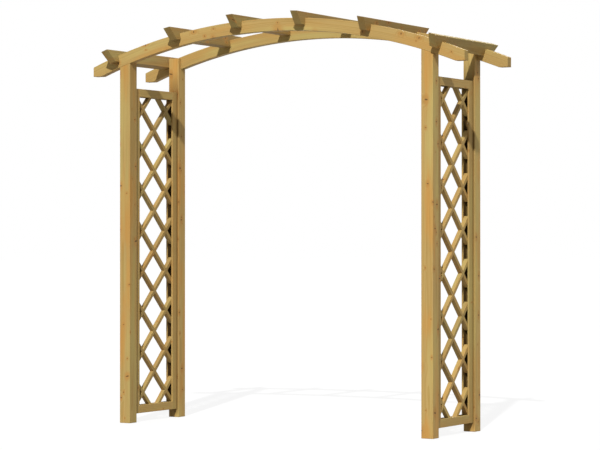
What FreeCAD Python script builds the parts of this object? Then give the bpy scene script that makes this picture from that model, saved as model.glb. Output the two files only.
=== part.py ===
import FreeCAD, Part
import os

import Sketcher

# A garden arch in planed softwood, in millimetres. Four posts carry two bowed beams, six rafters
# lie across the beams, and a framed lattice panel fills each side. X runs across the walkway, Y runs
# through it and Z is up. The origin lies on the ground, midway between the four posts.

QUARTER_TURN = 90
LEFT = -1
RIGHT = 1
FRONT = -1
REAR = 1
SIDE_NAMES = {LEFT: "left", RIGHT: "right"}
END_NAMES = {FRONT: "front", REAR: "rear"}

# The lattice divides the panel's height into equal spaces, with a bar each way at every division.
LATTICE_SPACES = 8
# Divisions of the lattice at which screws hold the panel to its posts.
PANEL_SCREW_DIVISIONS = (1, 4, 7)
# Share of a shank's radius that is left at the very point of a screw or brad.
BLUNT_POINT = 0.25
# Half spacings from the middle of the arch to the rafters between the posts, on each side.
INNER_RAFTER_STEPS = (1, 3)

DRIVING_SIZES = (
    ("post_size", "70", "side of a square post"),
    ("arch_width", "2025", "over the outer faces of the posts, across the walkway"),
    ("arch_depth", "575", "over the outer faces of the posts, through the walkway"),
    ("panel_base", "50", "from the ground to the underside of a panel"),
    ("panel_height", "1880", "height of a panel"),
    ("head_gap", "130", "from the top of a panel to the beam's underside, at the post's middle"),
    ("beam_thickness", "45", "thickness of a beam"),
    ("beam_depth", "70", "depth of a beam, measured along the bow's radius"),
    ("beam_radius", "3300", "radius of a beam's upper edge"),
    ("beam_tail", "187.5", "length of a beam past the outer face of a post"),
    ("beam_tip", "54", "height of a beam's upright end, above its level toe"),
    ("rafter_thickness", "45", "thickness of a rafter"),
    ("rafter_depth", "70", "depth of a rafter"),
    ("rafter_housing", "38", "depth to which a rafter is notched over the beams"),
    ("rafter_spacing", "413", "between the rafters that stand between the posts"),
    ("rafter_post_gap", "0.5", "between an end rafter and the outer face of a post"),
    ("rafter_tail", "40", "length of a rafter's lower edge past the outer face of a beam"),
    ("rafter_rake", "56", "how much further the upper edge of a rafter reaches than the lower"),
    ("frame_size", "47", "side of a panel's stiles and rails"),
    ("groove_depth", "36", "depth of the groove in a stile or rail that holds the lattice"),
    ("tongue_length", "30", "length of the tongue at each end of a rail, in a stile's groove"),
    ("bar_entry", "12", "length of a lattice bar's end that stands in a groove"),
    ("bar_face", "20", "width of a lattice bar, seen from the side of the arch"),
    ("bar_depth", "25", "depth of a lattice bar, across the walkway"),
    ("lattice_angle", "45", "slope of the lattice bars, in degrees"),
    ("lap_clearance", "0.1", "on each side of a bar in the notch of the bar that it crosses"),
    ("housing_clearance", "0.2", "on each side of a beam in a rafter's notch"),
    ("groove_clearance", "0.2", "on each side of a bar or tongue in a groove"),
    ("screw_diameter", "6", "diameter of a screw's shank"),
    ("screw_head", "12", "diameter of a screw's countersunk head"),
    ("screw_point", "7", "length of a screw's point"),
    ("beam_screw_length", "60", "length of a screw that holds a beam to a post"),
    ("beam_screw_spread", "30", "between the two screws of a beam joint, each way"),
    ("rafter_screw_length", "80", "length of a screw that holds a rafter to a beam"),
    ("panel_screw_length", "60", "length of a screw that holds a panel to a post"),
    ("brad_diameter", "1.6", "diameter of a lattice brad's shank"),
    ("brad_head", "3.2", "diameter of a lattice brad's head"),
    ("brad_point", "2", "length of a lattice brad's point"),
    ("brad_length", "22", "length of a lattice brad"),
    ("hole_clearance", "0.1", "between a screw or brad and its hole, all round"),
)

LAYOUT = (
    ("post_middle_x", "=(sizes.arch_width - sizes.post_size) / 2", "middle of a right post"),
    ("post_middle_y", "=(sizes.arch_depth - sizes.post_size) / 2", "middle of a rear post"),
    ("beam_middle_y", "=(sizes.arch_depth - sizes.beam_thickness) / 2", "middle of the rear beam"),
    ("panel_top", "=sizes.panel_base + sizes.panel_height", "upper edge of a panel"),
    ("shoulder_level", "=panel_top + sizes.head_gap", "beam's underside at the post's middle"),
    ("inner_radius", "=sizes.beam_radius - sizes.beam_depth", "radius of a beam's lower edge"),
    ("bow_centre", "=shoulder_level - sqrt(inner_radius^2 - post_middle_x^2)", "centre of the bow"),
    ("tongue_top", "=bow_centre + sqrt(sizes.beam_radius^2 - post_middle_x^2)", "top of a post"),
    ("beam_length", "=sizes.arch_width + 2 * sizes.beam_tail", "length of a beam"),
    ("tip_level", "=bow_centre + sqrt(sizes.beam_radius^2 - (beam_length / 2)^2)", "top of a beam's end"),
    ("toe_level", "=tip_level - sizes.beam_tip", "level toe of a beam"),
    ("crown_level", "=bow_centre + sizes.beam_radius", "top of a beam in the middle of the arch"),
    ("rafter_foot", "=sizes.beam_radius - sizes.rafter_housing", "radius of a rafter's lower edge"),
    ("rafter_top", "=rafter_foot + sizes.rafter_depth", "radius of a rafter's upper edge"),
    ("end_reach", "=sizes.arch_width / 2 + sizes.rafter_post_gap", "inner lower corner of an end rafter"),
    ("end_lever", "=sqrt(rafter_foot^2 + (sizes.rafter_thickness / 2)^2)", "that corner's radius"),
    ("panel_width", "=sizes.arch_depth - 2 * sizes.post_size", "width of a panel"),
    ("opening_width", "=panel_width - 2 * sizes.frame_size", "between the stiles of a panel"),
    ("opening_height", "=sizes.panel_height - 2 * sizes.frame_size", "between the rails of a panel"),
    ("groove_width", "=sizes.bar_depth + 2 * sizes.groove_clearance", "width of a groove"),
    ("web", "=sizes.frame_size - sizes.groove_depth", "thickness of the wood behind a groove"),
    ("lattice_pitch", f"=sizes.panel_height / {LATTICE_SPACES}", "height of a lattice space"),
    ("bar_length", "=opening_width / cos(sizes.lattice_angle) + 2 * sizes.frame_size", "untrimmed bar"),
)

# Lean of an end rafter whose inner lower corner stands clear of the post's outer face.
END_LEAN = (
    "asin(layout.end_reach / layout.end_lever)"
    " + atan(sizes.rafter_thickness / 2 / layout.rafter_foot)"
)

doc = FreeCAD.newDocument("garden_arch")
sizes = doc.addObject("Spreadsheet::Sheet", "sizes")
layout = doc.addObject("Spreadsheet::Sheet", "layout")
pieces = []
holes = []


def fill_sheet(sheet, rows):
    """Writes one aliased cell for each row, with what it measures beside it."""
    for row, (alias, content, meaning) in enumerate(rows, start=1):
        sheet.set(f"A{row}", content)
        sheet.set(f"B{row}", meaning)
        sheet.setAlias(f"A{row}", alias)
    doc.recompute()


def number(expression):
    """The value of an expression on the two sheets, as a plain number."""
    result = layout.evalExpression(expression)
    return float(getattr(result, "Value", result))


def bind(item, expressions):
    """Ties properties of an object to the sheets."""
    for path, expression in expressions.items():
        item.setExpression(path, expression)


def bind_place(item, x, y, z):
    """Ties the place of an object to the sheets."""
    bind(item, {"Placement.Base.x": x, "Placement.Base.y": y, "Placement.Base.z": z})


def box(name, size, corner):
    """A box from its size along X, Y and Z and its lowest corner."""
    item = doc.addObject("Part::Box", name)
    bind(item, dict(zip(("Length", "Width", "Height"), size)))
    bind_place(item, *corner)
    return item


def boolean(kind, name, base, tool):
    """A cut, fuse or common of two objects."""
    item = doc.addObject(f"Part::{kind}", name)
    item.Base = base
    item.Tool = tool
    return item


def fuse_all(name, items):
    """One solid from several objects that touch."""
    item = doc.addObject("Part::MultiFuse", name)
    item.Shapes = items
    return item


def keep(item, label):
    """Names an object as one finished piece of the arch."""
    item.Label = label
    pieces.append(item)


def drill(label, blank):
    """A finished piece of wood: the blank, cut by the screw and brad holes that lie within its bounds."""
    doc.recompute()
    bounds = blank.Shape.BoundBox
    near = [hole for hole in holes if hole.BoundBox.intersect(bounds)]
    if near:
        drills = doc.addObject("Part::Feature", f"{label}_holes")
        drills.Shape = Part.makeCompound(near)
        blank = boolean("Cut", f"{label}_drilled", blank, drills)
    keep(blank, label)


def fastener(name, kind, length, gap):
    """A countersunk screw or brad that points along Z from its head, widened all round by a gap."""
    shank = f"(sizes.{kind}_diameter / 2 + {gap})"
    head = f"(sizes.{kind}_head / 2 + {gap})"
    sink = f"({head} - {shank})"
    tip = f"sizes.{kind}_point"
    run = f"({length} - {sink} - {tip})"
    cap = doc.addObject("Part::Cone", f"{name}_cap")
    bind(cap, {"Radius1": head, "Radius2": shank, "Height": sink})
    stem = doc.addObject("Part::Cylinder", f"{name}_stem")
    bind(stem, {"Radius": shank, "Height": run, "Placement.Base.z": sink})
    point = doc.addObject("Part::Cone", f"{name}_tip")
    bind(point, {"Radius1": shank, "Radius2": f"{shank} * {BLUNT_POINT}", "Height": f"{tip} + {gap}"})
    bind(point, {"Placement.Base.z": f"{sink} + {run}"})
    return fuse_all(name, [cap, stem, point])


def copies(pattern, seats):
    """Separate copies of one fastener, each at its head's place and along its own line."""
    doc.recompute()
    solids = []
    for place, direction in seats:
        solid = pattern.Shape.copy()
        solid.Placement = FreeCAD.Placement(place, FreeCAD.Rotation(FreeCAD.Vector(0, 0, 1), direction))
        solids.append(solid)
    return solids


def fasten(label, kind, length, seats):
    """Makes a group of fasteners as one piece, and lists the holes that it needs."""
    group = doc.addObject("Part::Feature", f"{label}_group")
    group.Shape = Part.makeCompound(copies(fastener(f"{label}_pattern", kind, length, "0"), seats))
    keep(group, label)
    hole = fastener(f"{label}_hole", kind, length, "sizes.hole_clearance")
    holes.extend(copies(hole, seats))


def rafter_leans():
    """Each rafter's side of the arch and its lean from upright, in degrees, from left to right."""
    half_spacing = "sizes.rafter_spacing / 2"
    inner = [f"asin({steps} * {half_spacing} / sizes.beam_radius)" for steps in INNER_RAFTER_STEPS]
    right_half = [(RIGHT, lean) for lean in (*inner, END_LEAN)]
    left_half = [(LEFT, lean) for lean in (END_LEAN, *reversed(inner))]
    return left_half + right_half


def lean_rotation(side, lean):
    """The turn that leans an upright line out to one side of the arch."""
    return FreeCAD.Rotation(FreeCAD.Vector(0, side, 0), number(lean))


def beam_screw_seats():
    """Two screws at each post, driven forwards through post and beam: one low outside, one high inside."""
    middle_level = number("(layout.shoulder_level + layout.tongue_top) / 2")
    half_spread = number("sizes.beam_screw_spread / 2")
    head_faces = (number("sizes.post_size - sizes.arch_depth / 2"), number("sizes.arch_depth / 2"))
    forwards = FreeCAD.Vector(0, -1, 0)
    seats = []
    for side in SIDE_NAMES:
        for head_face in head_faces:
            for step in (-half_spread, half_spread):
                across = side * (number("layout.post_middle_x") + step)
                seats.append((FreeCAD.Vector(across, head_face, middle_level - step), forwards))
    return seats


def rafter_screw_seats():
    """A screw down through each rafter into each beam, along the bow's radius."""
    upright = FreeCAD.Vector(0, 0, 1)
    centre = FreeCAD.Vector(0, 0, number("layout.bow_centre"))
    seats = []
    for side, lean in rafter_leans():
        radius = lean_rotation(side, lean).multVec(upright)
        for end in END_NAMES:
            along = FreeCAD.Vector(0, end * number("layout.beam_middle_y"), 0)
            seats.append((centre + along + radius * number("layout.rafter_top"), -radius))
    return seats


def panel_screw_seats():
    """Screws driven out of the stiles' grooves into the posts."""
    groove_bottom = number("layout.opening_width / 2 + sizes.groove_depth")
    seats = []
    for side in SIDE_NAMES:
        across = side * number("layout.post_middle_x")
        for end in END_NAMES:
            outwards = FreeCAD.Vector(0, end, 0)
            for division in PANEL_SCREW_DIVISIONS:
                level = number(division_level(division))
                seats.append((FreeCAD.Vector(across, end * groove_bottom, level), outwards))
    return seats


def division_level(division):
    """The height at which the bars of one lattice division cross the panel's middle line."""
    return f"(sizes.panel_base + {division} * layout.lattice_pitch)"


def brad_seats():
    """A brad at each crossing of two lattice bars inside a panel's frame, with its head to the left."""
    half_diamond = number("layout.lattice_pitch / 2 / tan(sizes.lattice_angle)")
    half_opening = number("layout.opening_width / 2")
    lowest = number("sizes.panel_base + sizes.frame_size")
    highest = number("layout.panel_top - sizes.frame_size")
    to_the_right = FreeCAD.Vector(1, 0, 0)
    seats = []
    for side in SIDE_NAMES:
        head_face = side * number("layout.post_middle_x") - number("sizes.bar_depth / 2")
        for rising in range(LATTICE_SPACES + 1):
            for falling in range(LATTICE_SPACES + 1):
                along = (falling - rising) * half_diamond
                level = number(division_level((rising + falling) / 2))
                if abs(along) < half_opening and lowest < level < highest:
                    seats.append((FreeCAD.Vector(head_face, along, level), to_the_right))
    return seats


def bow(name, radius):
    """A long cylinder through the arch, about the centre of the bow."""
    item = doc.addObject("Part::Cylinder", name)
    through = FreeCAD.Rotation(FreeCAD.Vector(1, 0, 0), -QUARTER_TURN)
    item.Placement = FreeCAD.Placement(FreeCAD.Vector(), through)
    bind(item, {"Radius": radius, "Height": "2 * sizes.arch_depth"})
    bind_place(item, "0", "-sizes.arch_depth", "layout.bow_centre")
    return item


def make_posts(under_bow):
    """Four posts, each cut back on its outer face to a shoulder that the beam sits on."""
    for end, end_name in END_NAMES.items():
        for side, side_name in SIDE_NAMES.items():
            label = f"{end_name}_{side_name}_post"
            left = f"{side} * layout.post_middle_x - sizes.post_size / 2"
            blank = box(
                f"{label}_blank",
                ("sizes.post_size", "sizes.post_size", "layout.tongue_top"),
                (left, f"{end} * layout.post_middle_y - sizes.post_size / 2", "0"),
            )
            slot = box(
                f"{label}_slot",
                ("sizes.post_size", "sizes.beam_thickness", "layout.tongue_top - layout.panel_top"),
                (left, f"{end} * layout.beam_middle_y - sizes.beam_thickness / 2", "layout.panel_top"),
            )
            seat = boolean("Cut", f"{label}_seat", slot, under_bow)
            notched = boolean("Cut", f"{label}_notched", blank, seat)
            drill(label, notched)


def make_beams(under_bow):
    """Two bowed beams with upright ends and level toes."""
    over_bow = bow("over_bow", "sizes.beam_radius")
    ring = boolean("Cut", "bow_ring", over_bow, under_bow)
    for end, end_name in END_NAMES.items():
        label = f"{end_name}_beam"
        outer = f"{end} * layout.beam_middle_y - sizes.beam_thickness / 2"
        height = "layout.crown_level - layout.toe_level + sizes.beam_depth"
        reach = box(
            f"{label}_reach",
            ("layout.beam_length", "sizes.beam_thickness", height),
            ("-layout.beam_length / 2", outer, "layout.toe_level"),
        )
        sawn = boolean("Common", f"{label}_sawn", ring, reach)
        drill(label, sawn)


def rafter_corners():
    """The rear half of a rafter's side view, from top to middle: places along Y and radii of the bow."""
    face = "sizes.arch_depth / 2"
    notch_outer = f"{face} + sizes.housing_clearance"
    notch_inner = f"{face} - sizes.beam_thickness - sizes.housing_clearance"
    lower_end = f"{face} + sizes.rafter_tail"
    upper_end = f"{lower_end} + sizes.rafter_rake"
    return (
        (upper_end, "layout.rafter_top"),
        (lower_end, "layout.rafter_foot"),
        (notch_outer, "layout.rafter_foot"),
        (notch_outer, "sizes.beam_radius"),
        (notch_inner, "sizes.beam_radius"),
        (notch_inner, "layout.rafter_foot"),
    )


def draw_outline(sketch, corners):
    """Draws a closed outline of straight lines and ties each corner to the sheets."""
    points = [FreeCAD.Vector(number(across), number(up), 0) for across, up in corners]
    for index, point in enumerate(points):
        following = (index + 1) % len(points)
        sketch.addGeometry(Part.LineSegment(point, points[following]))
    for index in range(len(points)):
        following = (index + 1) % len(points)
        sketch.addConstraint(Sketcher.Constraint("Coincident", index, 2, following, 1))
    for index, (point, corner) in enumerate(zip(points, corners)):
        for kind, value, expression in zip(("DistanceX", "DistanceY"), (point.x, point.y), corner):
            constraint = sketch.addConstraint(Sketcher.Constraint(kind, -1, 1, index, 1, value))
            sketch.renameConstraint(constraint, f"{kind}_{index}")
            sketch.setExpression(f"Constraints.{kind}_{index}", expression)


def make_rafters():
    """Six rafters with raked ends, notched over both beams and square to the bow."""
    rear_half = rafter_corners()
    front_half = [(f"-({along})", up) for along, up in reversed(rear_half)]
    for index, (side, lean) in enumerate(rafter_leans(), start=1):
        label = f"rafter_{index}"
        body = doc.addObject("PartDesign::Body", f"{label}_body")
        sketch = body.newObject("Sketcher::SketchObject", f"{label}_side")
        planes = {plane.Role: plane for plane in body.Origin.OriginFeatures}
        sketch.AttachmentSupport = (planes["YZ_Plane"], [""])
        sketch.MapMode = "FlatFace"
        draw_outline(sketch, (*rear_half, *front_half))
        pad = body.newObject("PartDesign::Pad", f"{label}_pad")
        pad.Profile = sketch
        pad.SideType = "Symmetric"
        bind(pad, {"Length": "sizes.rafter_thickness"})
        body.Placement = FreeCAD.Placement(FreeCAD.Vector(), lean_rotation(side, lean))
        bind(body, {"Placement.Rotation.Angle": lean, "Placement.Base.z": "layout.bow_centre"})
        drill(label, body)


def make_stile(label, middle, end):
    """A stile with a groove along its inner face."""
    stile = box(
        f"{label}_blank",
        ("sizes.frame_size", "sizes.frame_size", "sizes.panel_height"),
        (
            f"{middle} - sizes.frame_size / 2",
            f"{end} * (layout.panel_width - sizes.frame_size) / 2 - sizes.frame_size / 2",
            "sizes.panel_base",
        ),
    )
    groove = box(
        f"{label}_groove",
        ("layout.groove_width", "sizes.groove_depth", "sizes.panel_height"),
        (
            f"{middle} - layout.groove_width / 2",
            f"{end} * (layout.opening_width + sizes.groove_depth) / 2 - sizes.groove_depth / 2",
            "sizes.panel_base",
        ),
    )
    drill(label, boolean("Cut", f"{label}_grooved", stile, groove))


def make_rail(label, middle, bottom, groove_bottom, web_bottom):
    """A rail with a groove along its inner face, whose web runs on at both ends as a tongue."""
    rail = box(
        f"{label}_blank",
        ("sizes.frame_size", "layout.opening_width", "sizes.frame_size"),
        (f"{middle} - sizes.frame_size / 2", "-layout.opening_width / 2", bottom),
    )
    groove = box(
        f"{label}_groove",
        ("layout.groove_width", "layout.opening_width", "sizes.groove_depth"),
        (f"{middle} - layout.groove_width / 2", "-layout.opening_width / 2", groove_bottom),
    )
    tongues = box(
        f"{label}_tongues",
        ("sizes.bar_depth", "layout.opening_width + 2 * sizes.tongue_length", "layout.web"),
        (
            f"{middle} - sizes.bar_depth / 2",
            "-layout.opening_width / 2 - sizes.tongue_length",
            web_bottom,
        ),
    )
    grooved = boolean("Cut", f"{label}_grooved", rail, groove)
    keep(boolean("Fuse", f"{label}_tongued", grooved, tongues), label)


def make_panel_frames():
    """Each panel's two stiles and two rails, grooved for the lattice."""
    top_rail_bottom = "layout.panel_top - sizes.frame_size"
    for side, side_name in SIDE_NAMES.items():
        middle = f"{side} * layout.post_middle_x"
        panel = f"{side_name}_panel"
        for end, end_name in END_NAMES.items():
            make_stile(f"{panel}_{end_name}_stile", middle, end)
        make_rail(
            f"{panel}_bottom_rail",
            middle,
            "sizes.panel_base",
            "sizes.panel_base + layout.web",
            "sizes.panel_base",
        )
        make_rail(
            f"{panel}_top_rail",
            middle,
            top_rail_bottom,
            top_rail_bottom,
            "layout.panel_top - layout.web",
        )


def slanted_box(name, slope, near, level, face):
    """A bar that leans by the lattice angle, from its near face in X and its level at the panel's middle."""
    lean = FreeCAD.Rotation(FreeCAD.Vector(slope, 0, 0), number("sizes.lattice_angle"))
    item = doc.addObject("Part::Box", name)
    item.Placement = FreeCAD.Placement(FreeCAD.Vector(), lean)
    bind(item, {"Length": "sizes.bar_depth", "Width": "layout.bar_length", "Height": face})
    bind(item, {"Placement.Rotation.Angle": "sizes.lattice_angle"})
    run = "layout.bar_length / 2"
    rise = f"({face}) / 2"
    across = f"{rise} * {slope} * sin(sizes.lattice_angle) - {run} * cos(sizes.lattice_angle)"
    up = f"{level} - {run} * {slope} * sin(sizes.lattice_angle) - {rise} * cos(sizes.lattice_angle)"
    bind_place(item, near, across, up)
    return item


def make_lattice():
    """Both panels' rising and falling bars, halved over each other where they cross."""
    lap_face = "sizes.bar_face + 2 * sizes.lap_clearance"
    slopes = {"rising": 1, "falling": -1}
    divisions = range(LATTICE_SPACES + 1)
    for side, side_name in SIDE_NAMES.items():
        middle = f"{side} * layout.post_middle_x"
        near_face = f"{middle} - sizes.bar_depth / 2"
        lap_faces = {"rising": f"{middle} - sizes.bar_depth", "falling": middle}
        field = box(
            f"{side_name}_lattice_field",
            (
                "sizes.frame_size",
                "layout.opening_width + 2 * sizes.bar_entry",
                "layout.opening_height + 2 * sizes.bar_entry",
            ),
            (
                f"{middle} - sizes.frame_size / 2",
                "-layout.opening_width / 2 - sizes.bar_entry",
                "sizes.panel_base + sizes.frame_size - sizes.bar_entry",
            ),
        )
        for family, slope in slopes.items():
            laps = doc.addObject("Part::Compound", f"{side_name}_{family}_laps")
            laps.Links = [
                slanted_box(
                    f"{side_name}_{family}_lap_{division}",
                    -slope,
                    lap_faces[family],
                    division_level(division),
                    lap_face,
                )
                for division in divisions
            ]
            for division in divisions:
                label = f"{side_name}_panel_{family}_bar_{division + 1}"
                blank = slanted_box(
                    f"{label}_blank",
                    slope,
                    near_face,
                    division_level(division),
                    "sizes.bar_face",
                )
                trimmed = boolean("Common", f"{label}_trimmed", blank, field)
                halved = boolean("Cut", f"{label}_halved", trimmed, laps)
                drill(label, halved)


def check_pieces():
    """Stops the build if an object failed, or if a piece is empty or not a valid shape."""
    for item in doc.Objects:
        if {"Invalid", "Error"} & set(item.State):
            raise RuntimeError(f"{item.Label} failed to build")
    for piece in pieces:
        if piece.Shape.isNull() or not piece.Shape.isValid() or not piece.Shape.Solids:
            raise RuntimeError(f"{piece.Label} is not a valid solid")


def write_pieces():
    """Writes each piece to its own file, named after the piece."""
    os.makedirs("parts", exist_ok=True)
    for piece in pieces:
        piece.Shape.exportStep(os.path.join("parts", f"{piece.Label}.step"))


fill_sheet(sizes, DRIVING_SIZES)
fill_sheet(layout, LAYOUT)

fasten("beam_screws", "screw", "sizes.beam_screw_length", beam_screw_seats())
fasten("rafter_screws", "screw", "sizes.rafter_screw_length", rafter_screw_seats())
fasten("panel_screws", "screw", "sizes.panel_screw_length", panel_screw_seats())
fasten("lattice_brads", "brad", "sizes.brad_length", brad_seats())

under_bow_block = bow("under_bow", "layout.inner_radius")
make_posts(under_bow_block)
make_beams(under_bow_block)
make_rafters()
make_panel_frames()
make_lattice()

doc.recompute()
check_pieces()
write_pieces()
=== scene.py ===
"""A bowed garden arch in planed, pressure-treated softwood, in the studio that it is pictured in.

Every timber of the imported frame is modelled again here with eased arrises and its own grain, and
the screws and brads get real heads. Sizes are in metres. X runs across the walkway, Y runs through
it from front to rear, and Z is up.
"""

import logging
import math
import random
from dataclasses import dataclass
from enum import Enum
from typing import Iterator, Sequence, Union

import bmesh
import bpy
from mathutils import Matrix, Vector


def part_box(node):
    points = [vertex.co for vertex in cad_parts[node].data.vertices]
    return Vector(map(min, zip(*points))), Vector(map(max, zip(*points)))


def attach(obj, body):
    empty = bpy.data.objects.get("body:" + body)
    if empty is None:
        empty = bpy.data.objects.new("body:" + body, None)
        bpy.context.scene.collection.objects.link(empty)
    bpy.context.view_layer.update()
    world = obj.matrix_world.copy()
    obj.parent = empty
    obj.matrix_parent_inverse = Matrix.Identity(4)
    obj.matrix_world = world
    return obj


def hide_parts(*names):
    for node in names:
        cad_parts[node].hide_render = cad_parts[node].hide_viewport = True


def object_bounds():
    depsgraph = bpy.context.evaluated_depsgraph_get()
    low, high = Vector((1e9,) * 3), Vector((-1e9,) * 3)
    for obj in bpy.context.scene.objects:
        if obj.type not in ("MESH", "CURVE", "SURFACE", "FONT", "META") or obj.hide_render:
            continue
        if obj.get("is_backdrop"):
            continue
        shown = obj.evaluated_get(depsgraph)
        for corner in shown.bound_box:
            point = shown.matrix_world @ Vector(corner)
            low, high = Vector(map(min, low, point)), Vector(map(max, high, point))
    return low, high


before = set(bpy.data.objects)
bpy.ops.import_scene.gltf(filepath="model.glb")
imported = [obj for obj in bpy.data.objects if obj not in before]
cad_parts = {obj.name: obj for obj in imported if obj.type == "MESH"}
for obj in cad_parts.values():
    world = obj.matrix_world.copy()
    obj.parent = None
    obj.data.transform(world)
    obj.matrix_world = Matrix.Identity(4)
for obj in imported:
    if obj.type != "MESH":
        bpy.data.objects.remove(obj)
CAD_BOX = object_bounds()

LOG = logging.getLogger("garden_arch")
BODY = "root"
X_AXIS = Vector((1.0, 0.0, 0.0))
Y_AXIS = Vector((0.0, 1.0, 0.0))
Z_AXIS = Vector((0.0, 0.0, 1.0))
WELD = 1e-6  # points nearer to each other than this become one
ON_PLANE = 1e-7  # points nearer to a saw's plane than this lie on it
TOUCH = 1e-5  # places nearer to each other than this count as the same

Pair = tuple[float, float]
Triple = tuple[float, float, float]
Colour = Triple
Box = tuple[Vector, Vector]
Socket = bpy.types.NodeSocket
Feed = Union[Socket, float, Sequence[float]]


class Side(Enum):
    """The two sides of the walkway, with their sign along X."""

    LEFT = -1
    RIGHT = 1


class End(Enum):
    """The two ends of the walkway, with their sign along Y."""

    FRONT = -1
    REAR = 1


class Edge(Enum):
    """The lower and upper edges of a side panel, with their sign along Z."""

    BOTTOM = -1
    TOP = 1


class Slope(Enum):
    """The two families of lattice bars, with the sign of their climb from front to rear."""

    RISING = 1
    FALLING = -1


class Slot(Enum):
    """The material slots of the record that the finishes fill."""

    STRUCTURE = "structural_softwood"
    FRAME = "frame_softwood"
    LATTICE = "lattice_softwood"
    FIXING = "fixing_steel"


class Layer(Enum):
    """The mesh attributes that carry a board's grain and its painted shade to its finish."""

    TIMBER = "timber"
    END_GRAIN = "end_grain"
    BOARD = "board"
    SHADE = "shade"


class NodeGraph:
    """A node tree of a material or of the world, with short ways to add nodes and join them."""

    MIX_INPUTS = (0, 6, 7)  # the Mix node's sockets for a factor and two colours
    MIX_RESULT = 2

    def __init__(self, tree: bpy.types.NodeTree) -> None:
        """Empties a node tree to build in it.

        Args:
            tree: The tree of a material or of the world.
        """
        self.tree = tree
        tree.nodes.clear()

    def node(self, kind: str, **settings: object) -> bpy.types.Node:
        """Adds a node.

        Args:
            kind: The node's type, without the Shader Node prefix.
            settings: Properties to set on it.

        Returns:
            The new node.
        """
        made = self.tree.nodes.new(f"ShaderNode{kind}")
        for name, value in settings.items():
            setattr(made, name, value)
        return made

    def feed(self, target: Socket, source: Feed) -> None:
        """Joins a socket to an input, or sets the input to a constant.

        Args:
            target: The input.
            source: A socket or a constant.
        """
        if isinstance(source, bpy.types.NodeSocket):
            self.tree.links.new(source, target)
        else:
            target.default_value = source

    def surface(self, shader: Socket, kind: str = "OutputMaterial") -> None:
        """Shows a shader as the surface of a material, or of the world."""
        self.feed(self.node(kind).inputs["Surface"], shader)

    def attribute(self, layer: Layer) -> bpy.types.Node:
        """Reads one of the board's mesh attributes."""
        return self.node("Attribute", attribute_type="GEOMETRY", attribute_name=layer.value)

    def math(self, operation: str, *terms: Feed) -> Socket:
        """Works out a number.

        Args:
            operation: The Math node's operation.
            terms: Its one to three inputs.

        Returns:
            The result.
        """
        made = self.node("Math", operation=operation)
        for target, term in zip(made.inputs, terms):
            self.feed(target, term)
        return made.outputs[0]

    def times(self, first: Feed, second: Feed) -> Socket:
        """Multiplies two numbers."""
        return self.math("MULTIPLY", first, second)

    def line(self, value: Feed, slope: Feed, start: Feed) -> Socket:
        """Multiplies a number by a slope and adds the result to a start."""
        return self.math("MULTIPLY_ADD", value, slope, start)

    def distance(self, x: Socket, y: Socket, stretch: float = 1.0) -> Socket:
        """Works out how far a point is from a line that it lies beside.

        Args:
            x: The point's first offset from the line.
            y: Its second offset.
            stretch: How many times over the second offset counts.

        Returns:
            The distance.
        """
        tall = self.times(y, stretch)
        return self.math("SQRT", self.line(tall, tall, self.times(x, x)))

    def split(self, vector: Socket) -> tuple[Socket, Socket, Socket]:
        """Takes a vector apart.

        Args:
            vector: The vector.

        Returns:
            Its three numbers.
        """
        made = self.node("SeparateXYZ")
        self.feed(made.inputs[0], vector)
        return made.outputs[0], made.outputs[1], made.outputs[2]

    def join(self, x: Feed, y: Feed, z: Feed) -> Socket:
        """Puts a vector together.

        Args:
            x: Its first number.
            y: Its second number.
            z: Its third number.

        Returns:
            The vector.
        """
        made = self.node("CombineXYZ")
        for target, term in zip(made.inputs, (x, y, z)):
            self.feed(target, term)
        return made.outputs[0]

    def scaled(self, vector: Socket, factors: Triple) -> Socket:
        """Stretches a vector.

        Args:
            vector: The vector.
            factors: How many times it is stretched along each axis.

        Returns:
            The stretched vector.
        """
        made = self.node("VectorMath", operation="MULTIPLY")
        self.feed(made.inputs[0], vector)
        self.feed(made.inputs[1], factors)
        return made.outputs[0]

    def noise(self, vector: Socket, detail: float = 2.0, roughness: float = 0.5) -> Socket:
        """Smooth noise, one wave to a unit of the vector.

        Args:
            vector: Where to read it.
            detail: How many finer layers it has.
            roughness: How strong these are.

        Returns:
            A number about 0.5.
        """
        made = self.node("TexNoise", noise_dimensions="3D")
        inputs = {"Vector": vector, "Scale": 1.0, "Detail": detail, "Roughness": roughness}
        for name, source in inputs.items():
            self.feed(made.inputs[name], source)
        return made.outputs[0]

    def wander(
        self, value: Socket, rate: float, second: Feed = 0.0, third: Feed = 0.0, detail: float = 1.0
    ) -> Socket:
        """Smooth noise along one number.

        Args:
            value: The number.
            rate: Waves to a unit of it.
            second: A second place in the noise, which tells one wander from another.
            third: A third place in it.
            detail: How many finer layers it has.

        Returns:
            A number about 0.5.
        """
        return self.noise(self.join(self.times(value, rate), second, third), detail)

    def chance(self, x: Feed, y: Feed) -> tuple[Socket, Socket, Socket]:
        """Draws three random numbers.

        Args:
            x: A number that they belong to.
            y: A second number that they belong to.

        Returns:
            The three numbers, from 0 to 1.
        """
        made = self.node("TexWhiteNoise", noise_dimensions="2D")
        self.feed(made.inputs["Vector"], self.join(x, y, 0.0))
        return self.split(made.outputs["Color"])

    def step(self, value: Feed, edge: Pair, to_low: float = 0.0, to_high: float = 1.0) -> Socket:
        """Eases a number over from one value to another.

        Args:
            value: The number.
            edge: Where the change starts and where it ends.
            to_low: The result below the change.
            to_high: The result above it.

        Returns:
            The eased number.
        """
        made = self.node("MapRange", interpolation_type="SMOOTHSTEP")
        for target, term in zip(made.inputs, (value, *edge, to_low, to_high)):
            self.feed(target, term)
        return made.outputs[0]

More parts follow.
